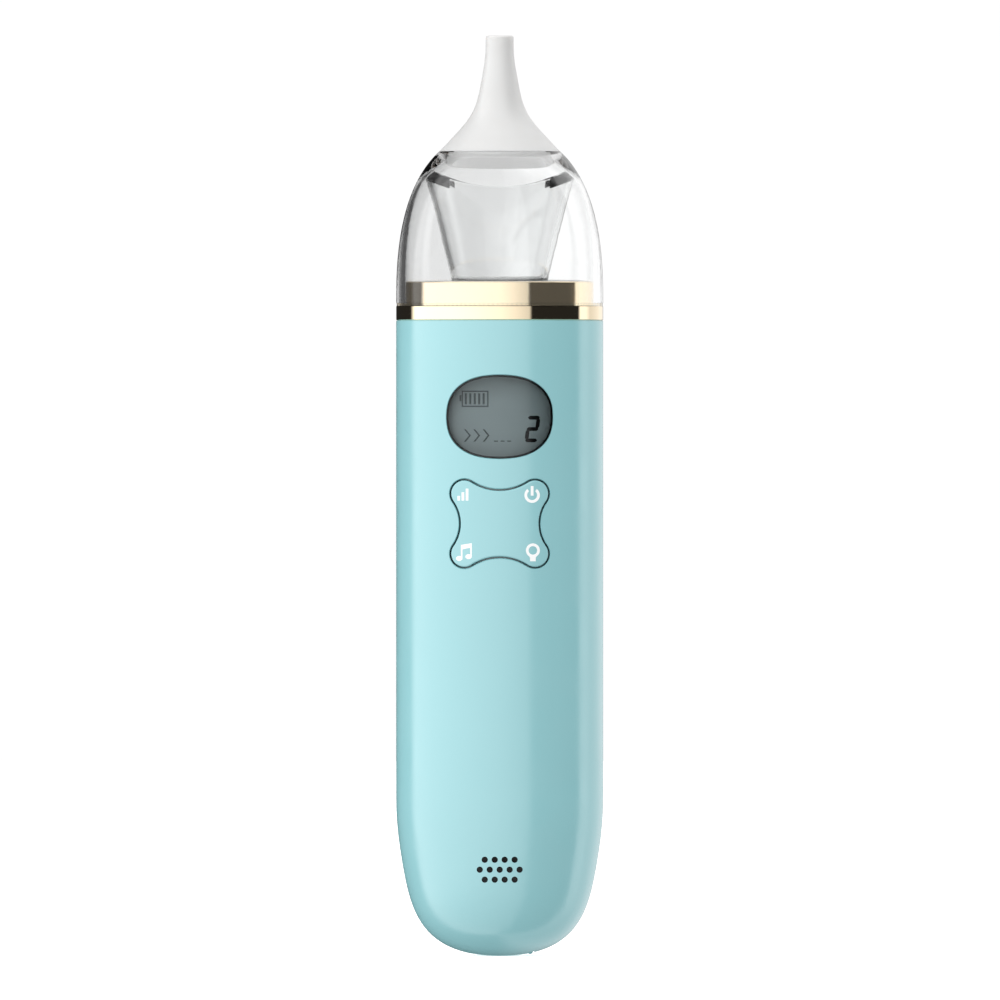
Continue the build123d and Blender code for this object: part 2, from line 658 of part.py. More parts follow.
with BuildPart() as speaker_mesh:
    rods([(0, SPEAKER_Z)], 5.5, -SPEAKER_FRONT - 0.4, -SPEAKER_FRONT)

with BuildPart() as speaker_frame:
    rods([(0, SPEAKER_Z)], SPEAKER_R, -SPEAKER_FRONT, -SPEAKER_BACK)
    rods([(0, SPEAKER_Z)], SPEAKER_R - 0.7, -SPEAKER_FRONT, -SPEAKER_BACK - 0.4, mode=Mode.SUBTRACT)
    rods([(0, SPEAKER_Z)], 4.0, -SPEAKER_BACK, -SPEAKER_BACK + SPEAKER_MAGNET_T)

with BuildPart() as speaker_cone:
    with BuildSketch(Plane(origin=(0, 0, SPEAKER_Z), x_dir=(1, 0, 0), z_dir=(0, 0, 1))):
        Polygon((0, -13.4), (2.0, -13.2), (6.1, -13.8), (6.1, -14.0), (2.0, -13.4), (0, -13.7), align=None)
    revolve(axis=Axis((0, 0, SPEAKER_Z), (0, 1, 0)))


# Battery and charging ------------------------------------------------------------------------------------

with BuildPart() as battery_cell:
    ring(0, BATTERY_R, BATTERY_Z[0], BATTERY_Z[1] - 0.8, y=BATTERY_Y)
    ring(0, 2.6, BATTERY_Z[1] - 0.8, BATTERY_Z[1], y=BATTERY_Y)

with BuildPart() as usb_c_socket:
    slot(PORT_SIZE, 0, PORT_MOUTH, PORT_END)
    slot(PORT_SIZE, -0.3, PORT_MOUTH, PORT_MOUTH + 6.2, Mode.SUBTRACT)
    block((-3.35, 3.35), (-0.35, 0.35), (PORT_MOUTH + 1.7, PORT_END))

with BuildPart() as small_boards:  # the charging board, and the lamp's round one under the deck
    block((-8, 8), (PORT_SIZE[1] / 2, PORT_SIZE[1] / 2 + 1), (PAD_TOP + 0.2, 16.0))
    ring(0, 4.0, LED_BOARD_BOTTOM, LED_BOARD_TOP)

with BuildPart() as port_cover:
    slot(RECESS_SIZE, -0.15, 0, RECESS_DEPTH - SLIP)
    add(skin_volume.part, mode=Mode.INTERSECT)
    slot(PORT_SIZE, -0.7, RECESS_DEPTH - SLIP, RECESS_DEPTH + 0.7)
    rods([(HINGE_X, HINGE_Z)], HINGE_BEAD_R, -2.0, 2.0)


# Motor ---------------------------------------------------------------------------------------------------


def motor_ring(r_in, r_out, z_low, z_high, mode=Mode.ADD):
    ring(r_in, r_out, z_low, z_high, y=PUMP_Y, mode=mode)


with BuildPart() as motor_can:
    motor_ring(MOTOR_R - 1, MOTOR_R, CAN_BOTTOM, MOTOR_TOP - 1)
    motor_ring(3.0, MOTOR_R, MOTOR_TOP - 1, MOTOR_TOP)
    holes(round_pump(MOTOR_SCREW_CIRCLE, 2, 90), PUMP_SCREW_R, MOTOR_TOP - 1, MOTOR_TOP)

with BuildPart() as motor_endcap:
    motor_ring(3.0, MOTOR_R, MOTOR_BOTTOM, CAN_BOTTOM)
    motor_ring(8.4, MOTOR_R - 1.05, CAN_BOTTOM, CAN_BOTTOM + 2)
    holes([(-5, PUMP_Y), (5, PUMP_Y)], 0.9, MOTOR_BOTTOM, CAN_BOTTOM)

with BuildPart() as motor_terminals:
    for x in (-5, 5):
        block((x - 0.25, x + 0.25), (PUMP_Y - 0.8, PUMP_Y + 0.8), (57.2, CAN_BOTTOM + 1))

with BuildPart() as motor_magnets:
    motor_ring(9.3, MOTOR_R - 1, 64.5, 82.0)
    block((-3, 3), (PUMP_Y - MOTOR_R, PUMP_Y + MOTOR_R), (64, 83), mode=Mode.SUBTRACT)

with BuildPart() as motor_bearings:
    motor_ring(SHAFT_R + SHAFT_CLEARANCE, 3.0, MOTOR_BOTTOM, CAN_BOTTOM)
    motor_ring(SHAFT_R + SHAFT_CLEARANCE, 3.0, MOTOR_TOP - 1.6, MOTOR_TOP + 0.8)

with BuildPart() as motor_shaft:
    motor_ring(0, SHAFT_R, MOTOR_BOTTOM + 0.2, ECCENTRIC_Z[0] + 1.5)

with BuildPart() as motor_rotor:
    motor_ring(0, 8.8, 66.0, 80.0)
    with BuildSketch(Plane((0, PUMP_Y, 66))):
        with PolarLocations(6.6, 3):
            Rectangle(6.0, 1.8)
    extrude(amount=14, mode=Mode.SUBTRACT)
    motor_ring(0, 3.0, CAN_BOTTOM + 0.6, 66.0)
    motor_ring(0, SHAFT_R, CAN_BOTTOM, 80.0, mode=Mode.SUBTRACT)


# Pump -----------------------------------------------------------------------------------------------------

with BuildPart() as pump_dampers:
    for damper_z in DAMPER_BOTTOMS:
        motor_ring(MOTOR_R, DAMPER_R, damper_z, damper_z + DAMPER_H)

with BuildPart() as pump_base:
    motor_ring(0, PUMP_R, MOTOR_TOP, BASE_TOP)
    motor_ring(0, CHAMBER_R, BASE_FLOOR, BASE_TOP, mode=Mode.SUBTRACT)
    motor_ring(0, 3.1, MOTOR_TOP, BASE_FLOOR, mode=Mode.SUBTRACT)
    holes(round_pump(MOTOR_SCREW_CIRCLE, 2, 90), PUMP_SCREW_R + 0.1, MOTOR_TOP, BASE_FLOOR)
    holes(round_pump(PUMP_SCREW_CIRCLE), PUMP_SCREW_R, BASE_TOP - 8, BASE_TOP)

# The pin leans over the motor's axis: its lower end stands off towards +X.
LEAN = radians(WOBBLE_LEAN)
PIN_AXIS = Vector(-sin(LEAN), 0, cos(LEAN))


def pin_plane(along):
    """Plane square to the leaning pin, at a distance along it from the wobble centre."""
    centre = Vector(0, PUMP_Y, WOBBLE_Z) + PIN_AXIS * along
    return Plane(origin=centre, x_dir=(cos(LEAN), 0, sin(LEAN)), z_dir=PIN_AXIS)


def leaning_disc(r, low, high, mode=Mode.ADD):
    with BuildSketch(pin_plane(low)) as end:
        Circle(r)
    extrude(end.sketch, amount=high - low, mode=mode)


PIN_LOW = -8.0
PIN_HIGH = -1.2
WOBBLE_TOP = -1.0
ARM_T = 1.2

with BuildPart() as wobble_pin:
    leaning_disc(PIN_R, PIN_LOW, PIN_HIGH)

with BuildPart() as eccentric:
    motor_ring(0, ECCENTRIC_R, *ECCENTRIC_Z)
    motor_ring(0, SHAFT_R, ECCENTRIC_Z[0], ECCENTRIC_Z[0] + 1.5, mode=Mode.SUBTRACT)
    leaning_disc(PIN_R, PIN_LOW, PIN_HIGH, mode=Mode.SUBTRACT)

with BuildPart() as wobble_plate:
    with BuildSketch(pin_plane(WOBBLE_TOP - ARM_T)):
        Circle(2.4)
        with PolarLocations(CYLINDER_CIRCLE / 2, 3, start_angle=30):
            SlotCenterToCenter(CYLINDER_CIRCLE, 2.6)
    extrude(amount=ARM_T)
    leaning_disc(2.2, WOBBLE_TOP - ARM_T - 1.4, WOBBLE_TOP)
    leaning_disc(PIN_R + SHAFT_CLEARANCE, PIN_LOW, PIN_HIGH + 0.05, mode=Mode.SUBTRACT)


def plate_height(x):
    """Height of the wobble plate's top face, at rest, at a distance across from its axis."""
    return WOBBLE_Z + WOBBLE_TOP / cos(LEAN) + x * tan(LEAN)


with BuildPart() as diaphragms:
    motor_ring(0, PUMP_R, BASE_TOP, SHEET_TOP)
    holes(round_pump(PUMP_SCREW_CIRCLE), PUMP_SCREW_R + 0.1, BASE_TOP, SHEET_TOP)
    cylinders = round_pump(CYLINDER_CIRCLE)
    for x, y in cylinders:
        stem_low = plate_height(x) + 0.12
        holes([(x, y)], CYLINDER_R, stem_low + 0.7, BASE_TOP, Mode.ADD)
        holes([(x, y)], CYLINDER_R - 0.5, stem_low + 1.3, SHEET_TOP)
        holes([(x, y)], 0.9, stem_low, stem_low + 1.0, Mode.ADD)

with BuildPart() as valve_plate:
    motor_ring(0, PUMP_R, SHEET_TOP, PLATE_TOP)
    holes(cylinders, CYLINDER_R - 0.4, SHEET_TOP, SHEET_TOP + 1.2)
    holes(round_pump(CYLINDER_CIRCLE - 1.3), 0.5, SHEET_TOP, PLATE_TOP)
    holes(round_pump(CYLINDER_CIRCLE + 1.3), 0.5, SHEET_TOP, PLATE_TOP)
    holes(round_pump(PUMP_SCREW_CIRCLE), PUMP_SCREW_R + 0.1, SHEET_TOP, PLATE_TOP)

with BuildPart() as valve_flaps:
    motor_ring(0, 9.0, PLATE_TOP, PLATE_TOP + 0.5)

with BuildPart() as pump_head:
    motor_ring(0, PUMP_R, PLATE_TOP, HEAD_TOP)
    motor_ring(0, 9.0, PLATE_TOP, PLATE_TOP + 0.5, mode=Mode.SUBTRACT)
    motor_ring(0, 3.6, PLATE_TOP, PLATE_TOP + 3, mode=Mode.SUBTRACT)
    motor_ring(5.2, 8.6, PLATE_TOP, PLATE_TOP + 3, mode=Mode.SUBTRACT)
    motor_ring(0, BARB_R, HEAD_TOP, BARB_TOP)
    holes([(0, PUMP_Y)], 1.1, PLATE_TOP, BARB_TOP)
    holes([EXHAUST], 2.5, HEAD_TOP - 1.0, HEAD_TOP)
    holes([EXHAUST], 1.0, PLATE_TOP + 2, HEAD_TOP)
    holes(round_pump(PUMP_SCREW_CIRCLE), PUMP_SCREW_R + 0.1, PLATE_TOP, HEAD_TOP)

with BuildPart() as pump_screws:  # three through the pump, two that hold the motor
    holes(round_pump(MOTOR_SCREW_CIRCLE, 2, 90), PUMP_SCREW_R, MOTOR_TOP - 1, BASE_FLOOR, Mode.ADD)
    holes(round_pump(MOTOR_SCREW_CIRCLE, 2, 90), 1.6, BASE_FLOOR, BASE_FLOOR + 1, Mode.ADD)
    holes(round_pump(PUMP_SCREW_CIRCLE), PUMP_SCREW_R, BASE_TOP - 7.5, HEAD_TOP, Mode.ADD)
    holes(round_pump(PUMP_SCREW_CIRCLE), 1.6, HEAD_TOP, HEAD_TOP + 1.1, Mode.ADD)

with BuildPart() as suction_tube:
    motor_ring(BARB_R, TUBE_R, HEAD_TOP + 0.5, FLANGE_BOTTOM - 0.1)


# Wires -----------------------------------------------------------------------------------------------------


def wire(*points):
    """Insulated lead along straight runs joined by bends."""
    with BuildLine() as route:
        FilletPolyline(*points, radius=WIRE_BEND)
    with BuildSketch(Plane(route.line ^ 0)) as end:
        Circle(WIRE_R)
    sweep(end.sketch, path=route.line)


def wire_set(side, shift):
    """One colour of every pair; shift moves it across from its partner."""
    lane = -7.9  # runs between the battery or motor and the boards
    joint_z = BOARD_Z[0] + 1.1
    terminal = side * 5
    wire(
        (terminal, PUMP_Y - 0.8, 57.8),
        (terminal, lane - 0.6, 57.8),
        (terminal, lane - 0.6, joint_z + 0.6),
        (terminal, -BOARD_BACK, joint_z + 0.6),
    )
    battery_x = 2.2 + shift
    wire(
        (battery_x, BATTERY_Y, BATTERY_Z[1]),
        (battery_x, BATTERY_Y, BATTERY_Z[1] + 1.8),
        (battery_x, lane, BATTERY_Z[1] + 1.8),
        (battery_x, lane, joint_z),
        (battery_x, -BOARD_BACK, joint_z),
    )
    charge_x = -3.0 + shift
    wire(
        (charge_x, PORT_SIZE[1] / 2, 14.8),
        (charge_x, lane, 14.8),
        (charge_x, lane, joint_z),
        (charge_x, -BOARD_BACK, joint_z),
    )
    speaker_x = -0.4 + shift
    wire(
        (speaker_x, -SPEAKER_BACK + SPEAKER_MAGNET_T, SPEAKER_Z),
        (speaker_x, lane - 1.5, SPEAKER_Z),
        (speaker_x, lane - 1.5, joint_z),
        (speaker_x, -BOARD_BACK, joint_z),
    )
    lamp_x = -4.75 + 1.25 * shift
    wire(
        (lamp_x, -11.6, BOARD_Z[1]),
        (lamp_x, -11.6, LAMP_LEAD_Z),
        (-1 + shift, -1, LAMP_LEAD_Z),
        (-1 + shift, -1, LED_BOARD_BOTTOM),
    )


with BuildPart() as wires_red:
    wire_set(1, 0.6)

with BuildPart() as wires_black:
    wire_set(-1, -0.6)


# Files -----------------------------------------------------------------------------------------------------

pieces = {
    "front_housing": front_housing,
    "rear_housing": rear_housing,
    "housing_screws": housing_screws,
    "screw_plugs": screw_plugs,
    "deck_base": deck_base,
    "filter_foam": filter_foam,
    "deck_cap": deck_cap,
    "lamp_lens": lamp_lens,
    "lamp_led": lamp_led,
    "collar_ring": collar_ring,
    "neck_ring": neck_ring,
    "dome_gasket": dome_gasket,
    "dome_cover": dome_cover,
    "nozzle_tip": nozzle_tip,
    "cup_bumpers": cup_bumpers,
    "collection_cup": collection_cup,
    "window_lens": window_lens,
    "lcd_gasket": lcd_gasket,
    "lcd_panel": lcd_panel,
    "lcd_backlight": lcd_backlight,
    "key_plate": key_plate,
    "key_pivot": key_pivot,
    "keypad_mat": keypad_mat,
    "tact_switches": tact_switches,
    **plungers,
    "main_board": main_board,
    "chassis": chassis,
    "board_screws": board_screws,
    "board_components": board_components,
    "speaker_mesh": speaker_mesh,
    "speaker_frame": speaker_frame,
    "speaker_cone": speaker_cone,
    "battery_cell": battery_cell,
    "usb_c_socket": usb_c_socket,
    "small_boards": small_boards,
    "port_cover": port_cover,
    "motor_can": motor_can,
    "motor_endcap": motor_endcap,
    "motor_terminals": motor_terminals,
    "motor_magnets": motor_magnets,
    "motor_bearings": motor_bearings,
    "motor_shaft": motor_shaft,
    "motor_rotor": motor_rotor,
    "pump_dampers": pump_dampers,
    "pump_base": pump_base,
    "wobble_pin": wobble_pin,
    "eccentric": eccentric,
    "wobble_plate": wobble_plate,
    "diaphragms": diaphragms,
    "valve_plate": valve_plate,
    "valve_flaps": valve_flaps,
    "pump_head": pump_head,
    "pump_screws": pump_screws,
    "suction_tube": suction_tube,
    "wires_red": wires_red,
    "wires_black": wires_black,
}

for name, piece in pieces.items():
    piece.part.label = name
    export_step(piece.part, f"parts/{name}.step")
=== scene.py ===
from math import atan2, cos, degrees, pi, radians, sin, sqrt

import bmesh
import bpy
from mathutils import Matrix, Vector


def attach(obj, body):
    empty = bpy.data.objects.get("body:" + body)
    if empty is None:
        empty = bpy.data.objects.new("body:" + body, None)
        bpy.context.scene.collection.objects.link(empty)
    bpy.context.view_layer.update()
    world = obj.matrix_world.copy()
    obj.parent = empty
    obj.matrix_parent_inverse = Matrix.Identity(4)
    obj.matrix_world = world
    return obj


MM = 0.001  # lengths are in metres, unless a comment says mm

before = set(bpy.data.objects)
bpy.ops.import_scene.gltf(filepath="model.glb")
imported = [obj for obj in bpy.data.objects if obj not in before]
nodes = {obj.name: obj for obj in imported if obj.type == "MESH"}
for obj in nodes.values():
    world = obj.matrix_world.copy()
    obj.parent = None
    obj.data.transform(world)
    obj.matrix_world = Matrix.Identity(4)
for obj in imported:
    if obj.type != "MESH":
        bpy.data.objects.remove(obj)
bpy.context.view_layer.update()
scene = bpy.context.scene


# Camera, stage and light ---------------------------------------------------------------------------

VIEW_WIDTH = 0.1932  # what the camera takes in at the object's axis
VIEW_HEIGHT = 0.08806
VIEW_SIDEWAYS = 0.06 * MM
LENS = 1500.0  # mm; so long that the view is almost without perspective
SENSOR = 36.0  # mm
distance = VIEW_WIDTH * LENS / SENSOR

camera_data = bpy.data.cameras.new("camera")
camera_data.lens = LENS
camera_data.sensor_width = SENSOR
camera_data.clip_end = 100
camera = bpy.data.objects.new("camera", camera_data)
camera.location = (VIEW_SIDEWAYS, -distance, VIEW_HEIGHT)
camera.rotation_euler = (radians(90), 0, 0)
scene.collection.objects.link(camera)
scene.camera = camera

scene.view_settings.view_transform = "Standard"
scene.cycles.max_bounces = 24
scene.cycles.transmission_bounces = 20
scene.cycles.transparent_max_bounces = 24
scene.cycles.glossy_bounces = 8


def put(tree, kind, inputs=None, **settings):
    """Add a shader node; inputs holds a value, or the socket that it is joined to."""
    made = tree.nodes.new(kind)
    for key, value in settings.items():
        setattr(made, key, value)
    for key, value in (inputs or {}).items():
        socket = made.inputs[key]
        if isinstance(value, bpy.types.NodeSocket):
            tree.links.new(value, socket)
        else:
            socket.default_value = value
    return made


def ramp(tree, source, stops):
    """Grey ramp from (position, level) stops."""
    made = put(tree, "ShaderNodeValToRGB", {"Fac": source})
    elements = made.color_ramp.elements
    while len(elements) < len(stops):
        elements.new(0.5)
    for element, (position, level) in zip(elements, stops):
        element.position = position
        element.color = (level, level, level, 1)
    return made.outputs["Color"]


def remap(tree, source, low_in, high_in, low_out, high_out):
    """Straight-line change from one range to another, held at its ends."""
    inputs = {0: source, 1: low_in, 2: high_in, 3: low_out, 4: high_out}
    return put(tree, "ShaderNodeMapRange", inputs).outputs[0]


def maths(tree, operation, a, b=0.0):
    return put(tree, "ShaderNodeMath", {0: a, 1: b}, operation=operation).outputs[0]


def blend_colours(tree, factor, a, b, mode="MIX"):
    """Go from colour a to colour b; each may be a value or a socket, as may the factor."""
    made = put(tree, "ShaderNodeMix", data_type="RGBA", blend_type=mode)
    for socket, value in ((made.inputs[0], factor), (made.inputs[6], a), (made.inputs[7], b)):
        if isinstance(value, bpy.types.NodeSocket):
            tree.links.new(value, socket)
        else:
            socket.default_value = value if socket == made.inputs[0] else (*value, 1)
    return made.outputs[2]


# A studio all round the object, given as brightness at compass angles: 0 is the front, 90 the
# right, 180 behind. Gloss, matt surfaces and clear plastic each see their own version, and the
# last table is for light that has both bounced off a gloss and gone through clear plastic.
BRIGHTEST = 5.0  # the colour ramps hold levels as shares of this
CEILING = 0.95
BACKDROP = 1.02  # just over white
SEEN_IN_GLOSS = [
    (-180, 0.02), (-118, 0.02), (-110, 1.8), (-60, 1.65), (-30, 1.5), (0, 1.3), (18, 1.05),
    (33.5, 0.8), (36, 0.02), (99, 0.02), (102, 1.35), (113, 1.3), (121, 0.85), (150, 1.1),
    (165, 1.0), (180, 0.02),
]
SEEN_BY_MATT = [
    (-180, 1.1), (-140, 1.7), (-110, 2.0), (-80, 1.6), (-50, 1.1), (0, 1.15), (40, 1.05),
    (90, 0.9), (130, 1.2), (180, 1.2),
]
SEEN_THROUGH = [
    (-180, 0.85), (-178, 0.76), (-165, 0.72), (-152, 0.12), (-112, 0.12), (-100, 1.0), (0, 1.0),
    (100, 0.9), (140, 1.1), (178, 1.12), (180, 0.85),
]
SEEN_BY_WAY_OF_GLASS = [
    (-180, 0.9), (-168, 0.85), (-160, 0.1), (-106, 0.1), (-100, 1.5), (-60, 1.45), (-30, 1.4),
    (0, 1.3), (18, 1.05), (33.5, 0.8), (36, 0.1), (99, 0.1), (102, 1.25), (180, 0.9),
]


# The walls darken towards the ground, and give way to an even ceiling. Stops are (height, share),
# with height 0 straight down and 1 straight up.
GLOSS_FADE = [(0.0, 0.5), (0.2, 0.68), (0.35, 1.0), (0.8, 1.0)]
MATT_FADE = [(0.0, 0.65), (0.5, 1.0), (1.0, 1.0)]
OVERHEAD = [(0.82, 0.0), (0.95, 1.0)]


def studio():
    """World that shows each kind of ray its own walls."""
    world = bpy.data.worlds.new("studio")
    scene.world = world
    world.use_nodes = True
    world.cycles.sampling_method = "NONE"
    tree = world.node_tree
    tree.nodes.clear()
    direction = put(tree, "ShaderNodeTexCoord").outputs["Generated"]
    axes = put(tree, "ShaderNodeSeparateXYZ", {0: direction})
    forwards = maths(tree, "MULTIPLY", axes.outputs["Y"], -1.0)
    turn = maths(tree, "ARCTAN2", axes.outputs["X"], forwards)
    share = maths(tree, "ADD", maths(tree, "MULTIPLY", turn, 1 / (2 * pi)), 0.5)
    height = maths(tree, "ADD", maths(tree, "MULTIPLY", axes.outputs["Z"], 0.5), 0.5)

    def wall(stops):
        scaled = [((angle + 180) / 360, level / BRIGHTEST) for angle, level in stops]
        return ramp(tree, share, scaled)

    gloss_fade = ramp(tree, height, GLOSS_FADE)
    matt_fade = ramp(tree, height, MATT_FADE)
    overhead = ramp(tree, height, OVERHEAD)
    ceiling = (CEILING / BRIGHTEST,) * 3

    def room(stops, fade):
        faded = blend_colours(tree, 1.0, wall(stops), fade, "MULTIPLY")
        return blend_colours(tree, overhead, faded, ceiling)

    gloss = room(SEEN_IN_GLOSS, gloss_fade)
    matt = room(SEEN_BY_MATT, matt_fade)
    through = room(SEEN_THROUGH, gloss_fade)
    by_way_of_glass = room(SEEN_BY_WAY_OF_GLASS, gloss_fade)
    ray = put(tree, "ShaderNodeLightPath").outputs
    bounced = maths(tree, "MINIMUM", ray["Glossy Depth"], 1.0)
    scattered = maths(tree, "MINIMUM", ray["Diffuse Depth"], 1.0)
    refracted = blend_colours(tree, bounced, through, by_way_of_glass)
    refracted = blend_colours(tree, scattered, refracted, matt)
    seen = blend_colours(tree, ray["Is Glossy Ray"], matt, gloss)
    seen = blend_colours(tree, ray["Is Transmission Ray"], seen, refracted)
    seen = blend_colours(tree, ray["Is Camera Ray"], seen, (BACKDROP / BRIGHTEST,) * 3)
    light = put(tree, "ShaderNodeBackground", {"Color": seen, "Strength": BRIGHTEST})
    put(tree, "ShaderNodeOutputWorld", {"Surface": light.outputs[0]})


MIDDLE = Vector((0, 0, 0.09))


def softbox(name, place, size, watts):
    """Soft lamp aimed at the object's middle. It lights matt surfaces; the studio's walls make
    the reflections."""
    lamp = bpy.data.lights.new(name, "AREA")
    lamp.shape = "RECTANGLE"
    lamp.size, lamp.size_y = size
    lamp.energy = watts
    holder = bpy.data.objects.new(name, lamp)
    holder.location = place
    aim = MIDDLE - Vector(place)
    holder.rotation_euler = aim.to_track_quat("-Z", "Y").to_euler()
    holder.visible_glossy = False
    holder.visible_transmission = False
    scene.collection.objects.link(holder)


studio()
softbox("key_lamp", (-0.45, -0.7, 0.55), (0.5, 0.7), 2.2)
softbox("top_lamp", (0.1, -0.1, 0.9), (0.7, 0.7), 1.2)


FLOOR_R = 6.0
FLOOR_GAP = 0.02 * MM  # under the object's foot
FLOOR_GLOW = 0.45


def make_floor():
    """Round white floor, which can't be seen from below."""
    mesh = bpy.data.meshes.new("floor")
    bm = bmesh.new()
    bmesh.ops.create_circle(bm, cap_ends=True, radius=FLOOR_R, segments=96)
    bm.to_mesh(mesh)
    bm.free()
    floor = bpy.data.objects.new("floor", mesh)
    floor.location = (0, 0, -FLOOR_GAP)
    floor.visible_glossy = False
    floor.visible_transmission = False
    floor.visible_diffuse = False
    scene.collection.objects.link(floor)
    paint = bpy.data.materials.new("floor_paint")
    paint.use_nodes = True
    tree = paint.node_tree
    tree.nodes.clear()
    matt = put(tree, "ShaderNodeBsdfDiffuse", {"Color": (0.9, 0.9, 0.9, 1)})
    glow = put(tree, "ShaderNodeEmission", {"Color": (1, 1, 1, 1), "Strength": FLOOR_GLOW})
    both = put(tree, "ShaderNodeAddShader", {0: matt.outputs[0], 1: glow.outputs[0]})
    below = put(tree, "ShaderNodeNewGeometry").outputs["Backfacing"]
    unseen = put(tree, "ShaderNodeBsdfTransparent")
    shown = put(tree, "ShaderNodeMixShader", {0: below, 1: both.outputs[0], 2: unseen.outputs[0]})
    put(tree, "ShaderNodeOutputMaterial", {"Surface": shown.outputs[0]})
    mesh.materials.append(paint)


make_floor()


# Materials -----------------------------------------------------------------------------------------


def own_place(tree):
    """Where a point lies in its piece's own frame, which moves with the piece."""
    return put(tree, "ShaderNodeTexCoord").outputs["Object"]


def noise(tree, size, detail=2.0):
    """Noise with features of one size."""
    inputs = {"Vector": own_place(tree), "Scale": 1 / size, "Detail": detail}
    return put(tree, "ShaderNodeTexNoise", inputs).outputs["Fac"]


def between(tree, source, low, high):
    """Map 0.3 to 0.7, where most noise lies, to low to high."""
    return remap(tree, source, 0.3, 0.7, low, high)


def shade(colour, factor):
    return tuple(min(1.0, c * factor) for c in colour)


def start(name):
    """New material, with no shader yet, and its node tree."""
    material = bpy.data.materials.new(name)
    material.use_nodes = True
    tree = material.node_tree
    tree.nodes.clear()
    return material, tree


def surface(
    name, colour, rough, spread=0.03, patch=8 * MM, grain=0.3 * MM, depth=0.002 * MM,
    uneven=0.15, pattern=None, height=None, glow=None, **inputs
):
    """Principled material with patchy colour, uneven gloss and fine grain.

    pattern(tree) may return (factor, colour) to paint over the base, height(tree) a relief to use
    in place of the grain, and glow(tree) the strength of the light it gives off.
    """
    material, tree = start(name)
    patches = noise(tree, patch)
    base = blend_colours(
        tree, between(tree, patches, 0.0, 1.0), shade(colour, 1 - spread), shade(colour, 1 + spread)
    )
    if pattern:
        factor, ink = pattern(tree)
        base = blend_colours(tree, factor, base, ink)
    relief = height(tree) if height else noise(tree, grain)
    bumped = put(tree, "ShaderNodeBump", {"Height": relief, "Distance": depth, "Strength": 1.0})
    gloss = between(tree, noise(tree, patch / 3, 4.0), rough * (1 - uneven), rough * (1 + uneven))
    shader = put(
        tree, "ShaderNodeBsdfPrincipled",
        {"Base Color": base, "Roughness": gloss, "Normal": bumped.outputs[0], **inputs},
    )
    if glow:
        tree.links.new(glow(tree), shader.inputs["Emission Strength"])
        shader.inputs["Emission Color"].default_value = (1, 1, 1, 1)
    put(tree, "ShaderNodeOutputMaterial", {"Surface": shader.outputs[0]})
    return material


def clear(name, colour, rough, ior, ripple):
    """Clear moulded plastic: refracts what is seen, and lets lamp light through."""
    material, tree = start(name)
    waves = put(
        tree, "ShaderNodeBump", {"Height": noise(tree, 6 * MM), "Distance": ripple, "Strength": 1.0}
    )
    gloss = between(tree, noise(tree, 3 * MM, 4.0), rough * 0.5, rough * 1.5)
    shader = put(
        tree, "ShaderNodeBsdfPrincipled",
        {
            "Base Color": (*colour, 1), "Roughness": gloss, "IOR": ior,
            "Transmission Weight": 1.0, "Normal": waves.outputs[0],
        },
    )
    passing = put(tree, "ShaderNodeBsdfTransparent", {"Color": (*shade(colour, 0.97), 1)})
    ray = put(tree, "ShaderNodeLightPath").outputs["Is Shadow Ray"]
    mixed = put(tree, "ShaderNodeMixShader", {0: ray, 1: shader.outputs[0], 2: passing.outputs[0]})
    put(tree, "ShaderNodeOutputMaterial", {"Surface": mixed.outputs[0]})
    return material


def smoked(name, colour, rough, ior):
    """Thin tinted window: tints what is behind it, without bending it, and has a gloss."""
    material, tree = start(name)
    tint = blend_colours(
        tree, between(tree, noise(tree, 10 * MM), 0, 1), shade(colour, 0.985), shade(colour, 1.0)
    )
    passing = put(tree, "ShaderNodeBsdfTransparent", {"Color": tint})
    gloss = put(
        tree, "ShaderNodeBsdfGlossy",
        {"Roughness": between(tree, noise(tree, 2 * MM, 4.0), rough * 0.6, rough * 1.4)},
    )
    edge = put(tree, "ShaderNodeFresnel", {"IOR": ior}).outputs[0]
    mixed = put(tree, "ShaderNodeMixShader", {0: edge, 1: passing.outputs[0], 2: gloss.outputs[0]})
    put(tree, "ShaderNodeOutputMaterial", {"Surface": mixed.outputs[0]})
    return material


def lines(tree, spacing, direction, distortion=0.0):
    """Parallel grooves at a spacing, repeated along an axis."""
    made = put(
        tree, "ShaderNodeTexWave",
        {"Vector": own_place(tree), "Scale": pi / 10 / spacing, "Distortion": distortion},
        wave_type="BANDS", bands_direction=direction,
    )
    return made.outputs["Fac"]


def cells(tree, size):
    """Distance from the centres of random cells."""
    inputs = {"Vector": own_place(tree), "Scale": 1 / size}
    return put(tree, "ShaderNodeTexVoronoi", inputs).outputs["Distance"]


def traces(tree):
    """Copper tracks under a board's green mask."""
    upright = {"Vector": own_place(tree), "Rotation": (radians(90), 0, 0)}
    turned = put(tree, "ShaderNodeMapping", upright).outputs[0]
    bricks = {"Vector": turned, "Scale": 90.0, "Mortar Size": 0.012}
    return put(tree, "ShaderNodeTexBrick", bricks).outputs["Fac"], (0.02, 0.16, 0.07)


PORE = 0.5 * MM


def pore_shade(tree):
    """Painted shade in the middles of the foam's cells, where the pores sink in."""
    return between(tree, cells(tree, PORE), 0.8, 0.0), (0.05, 0.05, 0.055)


AQUA = (0.264, 0.53, 0.564)


def parting_line(tree):
    """Fine dark line where the handle's two halves meet, at y = 0."""
    across = put(tree, "ShaderNodeSeparateXYZ", {0: own_place(tree)}).outputs["Y"]
    off = maths(tree, "ABSOLUTE", across)
    return remap(tree, off, 0.05 * MM, 0.11 * MM, 1.0, 0.0), shade(AQUA, 0.3)


FOOT_Z = 154.0 * MM  # of the nozzle
FUNNEL_R = 9.2 * MM  # inside the nozzle, at its foot
FUNNEL_SLOPE = 0.625  # about what the funnel's radius loses for each step up
# Painted glow: emission strength on the nozzle's foot and funnel, which are shaded inside the dome.
PAINTED_GLOW_LEVEL = 0.34  # emission
